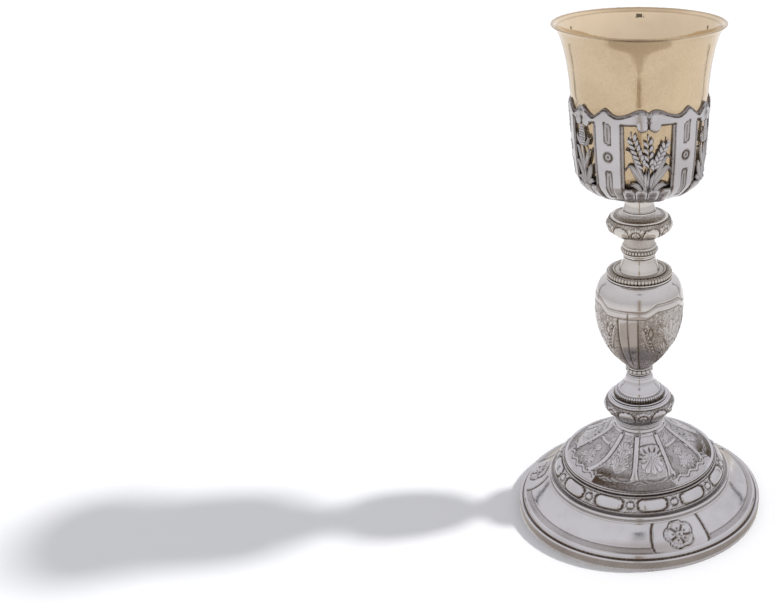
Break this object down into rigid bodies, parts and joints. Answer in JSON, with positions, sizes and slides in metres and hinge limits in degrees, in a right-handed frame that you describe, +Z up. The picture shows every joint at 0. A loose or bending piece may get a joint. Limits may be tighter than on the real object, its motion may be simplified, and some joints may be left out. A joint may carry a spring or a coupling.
{
  "type": "chalice",
  "caption": "Standing silver chalice: gilt tulip cup in a pierced calyx of wheat and reeds, knopped stem, round stepped foot with ornamented dome.",
  "frame": {"origin": "centre of the foot's underside, on the surface it stands on", "axes": "+Z up along the axis of the stem, -Y towards the front of the picture, +X to its right"},
  "size_m": [0.1444, 0.1444, 0.285],
  "materials": {
    "silver": "polished silver with grey-brown oxide in the recesses",
    "gilt": "polished pale gilding with fine wear"
  },
  "bodies": {
    "root": {"foot": "silver", "lower_knop": "silver", "lower_bell": "silver", "vase_knop": "silver", "upper_bell": "silver", "upper_knop": "silver", "neck": "silver", "calyx": "silver", "cup": "gilt"}
  },
  "joints": []
}
